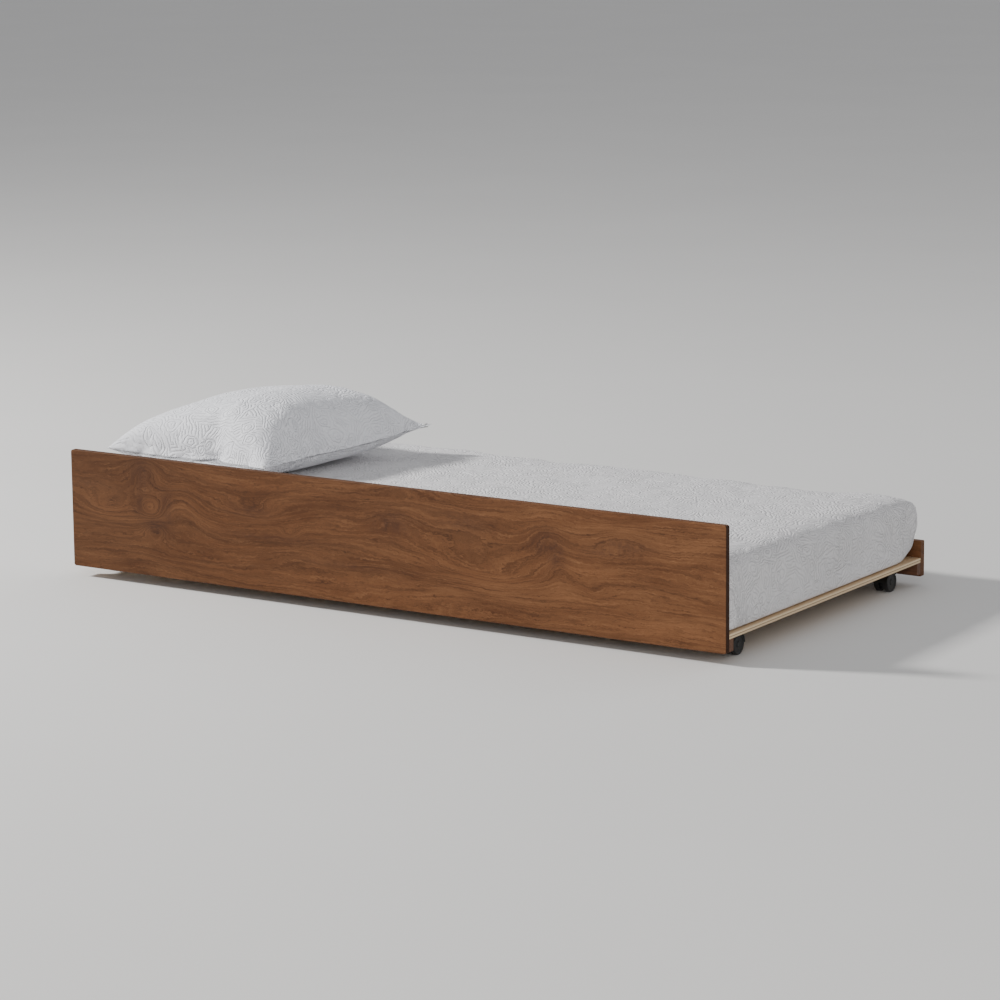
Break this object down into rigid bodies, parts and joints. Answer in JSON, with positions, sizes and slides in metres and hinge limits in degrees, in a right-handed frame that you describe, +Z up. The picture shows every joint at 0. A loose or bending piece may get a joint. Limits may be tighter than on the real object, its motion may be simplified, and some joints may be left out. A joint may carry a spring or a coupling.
{
  "type": "trundle bed",
  "caption": "Low trundle bed on swivel casters: tall wooden front panel, low back rail, slatted plywood deck, mattress in a quilted cover and a pillow in a quilted sham.",
  "frame": {"origin": "on the floor, under the middle of the frame", "axes": "+X along the bed to the foot end, -Y to the tall front panel, +Y to the back rail, +Z up"},
  "size_m": [1.905, 1, 0.4453],
  "materials": {
    "veneer": "satin",
    "cleat_wood": "satin",
    "plywood": "matte",
    "zinc": "satin",
    "plate_steel": "satin",
    "caster_plastic": "satin",
    "wheel_plastic": "satin",
    "ticking": "matte",
    "quilt": "matte",
    "pillow_cotton": "matte"
  },
  "bodies": {
    "frame": {"front_panel": "veneer", "back_rail": "veneer", "front_cleat": "cleat_wood", "back_cleat": "cleat_wood", "front_cleat_screws": "zinc", "back_cleat_screws": "zinc", "slat_01": "plywood", "slat_02": "plywood", "slat_03": "plywood", "slat_04": "plywood", "slat_05": "plywood", "slat_06": "plywood", "slat_07": "plywood", "slat_08": "plywood", "slat_09": "plywood", "slat_10": "plywood", "slat_11": "plywood", "slat_12": "plywood", "front_slat_screws": "zinc", "back_slat_screws": "zinc", "caster_foot_front_plate": "plate_steel", "caster_foot_front_screws": "zinc", "caster_foot_front_stem": "zinc", "caster_foot_back_plate": "plate_steel", "caster_foot_back_screws": "zinc", "caster_foot_back_stem": "zinc", "caster_head_front_plate": "plate_steel", "caster_head_front_screws": "zinc", "caster_head_front_stem": "zinc", "caster_head_back_plate": "plate_steel", "caster_head_back_screws": "zinc", "caster_head_back_stem": "zinc"},
    "caster_foot_front_swivel": {"caster_foot_front_housing": "caster_plastic", "caster_foot_front_axle": "zinc"},
    "caster_foot_front_outer_wheel": {"caster_foot_front_wheel_outer": "wheel_plastic"},
    "caster_foot_front_inner_wheel": {"caster_foot_front_wheel_inner": "wheel_plastic"},
    "caster_foot_back_swivel": {"caster_foot_back_housing": "caster_plastic", "caster_foot_back_axle": "zinc"},
    "caster_foot_back_outer_wheel": {"caster_foot_back_wheel_outer": "wheel_plastic"},
    "caster_foot_back_inner_wheel": {"caster_foot_back_wheel_inner": "wheel_plastic"},
    "caster_head_front_swivel": {"caster_head_front_housing": "caster_plastic", "caster_head_front_axle": "zinc"},
    "caster_head_front_outer_wheel": {"caster_head_front_wheel_outer": "wheel_plastic"},
    "caster_head_front_inner_wheel": {"caster_head_front_wheel_inner": "wheel_plastic"},
    "caster_head_back_swivel": {"caster_head_back_housing": "caster_plastic", "caster_head_back_axle": "zinc"},
    "caster_head_back_outer_wheel": {"caster_head_back_wheel_outer": "wheel_plastic"},
    "caster_head_back_inner_wheel": {"caster_head_back_wheel_inner": "wheel_plastic"},
    "mattress": {"mattress_core": "ticking", "mattress_cover": "quilt"},
    "pillow": {"pillow_insert": "pillow_cotton", "pillow_sham": "quilt"}
  },
  "joints": [
    {"name": "caster_foot_front_turn", "type": "hinge", "parent": "frame", "child": "caster_foot_front_swivel", "pos_m": [0.9025, -0.369, 0.056], "axis": [0, 0, 1], "continuous": true},
    {"name": "caster_foot_front_outer_roll", "type": "hinge", "parent": "caster_foot_front_swivel", "child": "caster_foot_front_outer_wheel", "pos_m": [0.9025, -0.385, 0.025], "axis": [1, 0, 0], "continuous": true},
    {"name": "caster_foot_front_inner_roll", "type": "hinge", "parent": "caster_foot_front_swivel", "child": "caster_foot_front_inner_wheel", "pos_m": [0.9025, -0.385, 0.025], "axis": [1, 0, 0], "continuous": true},
    {"name": "caster_foot_back_turn", "type": "hinge", "parent": "frame", "child": "caster_foot_back_swivel", "pos_m": [0.9025, 0.369, 0.056], "axis": [0, 0, 1], "continuous": true},
    {"name": "caster_foot_back_outer_roll", "type": "hinge", "parent": "caster_foot_back_swivel", "child": "caster_foot_back_outer_wheel", "pos_m": [0.9025, 0.385, 0.025], "axis": [1, 0, 0], "continuous": true},
    {"name": "caster_foot_back_inner_roll", "type": "hinge", "parent": "caster_foot_back_swivel", "child": "caster_foot_back_inner_wheel", "pos_m": [0.9025, 0.385, 0.025], "axis": [1, 0, 0], "continuous": true},
    {"name": "caster_head_front_turn", "type": "hinge", "parent": "frame", "child": "caster_head_front_swivel", "pos_m": [-0.9025, -0.369, 0.056], "axis": [0, 0, 1], "continuous": true},
    {"name": "caster_head_front_outer_roll", "type": "hinge", "parent": "caster_head_front_swivel", "child": "caster_head_front_outer_wheel", "pos_m": [-0.9025, -0.385, 0.025], "axis": [1, 0, 0], "continuous": true},
    {"name": "caster_head_front_inner_roll", "type": "hinge", "parent": "caster_head_front_swivel", "child": "caster_head_front_inner_wheel", "pos_m": [-0.9025, -0.385, 0.025], "axis": [1, 0, 0], "continuous": true},
    {"name": "caster_head_back_turn", "type": "hinge", "parent": "frame", "child": "caster_head_back_swivel", "pos_m": [-0.9025, 0.369, 0.056], "axis": [0, 0, 1], "continuous": true},
    {"name": "caster_head_back_outer_roll", "type": "hinge", "parent": "caster_head_back_swivel", "child": "caster_head_back_outer_wheel", "pos_m": [-0.9025, 0.385, 0.025], "axis": [1, 0, 0], "continuous": true},
    {"name": "caster_head_back_inner_roll", "type": "hinge", "parent": "caster_head_back_swivel", "child": "caster_head_back_inner_wheel", "pos_m": [-0.9025, 0.385, 0.025], "axis": [1, 0, 0], "continuous": true},
    {"name": "mattress_lift", "type": "slide", "parent": "frame", "child": "mattress", "axis": [0, 0, 1], "range_m": [0, 0.3]},
    {"name": "pillow_lift", "type": "slide", "parent": "mattress", "child": "pillow", "axis": [0, 0, 1], "range_m": [0, 0.2]}
  ]
}
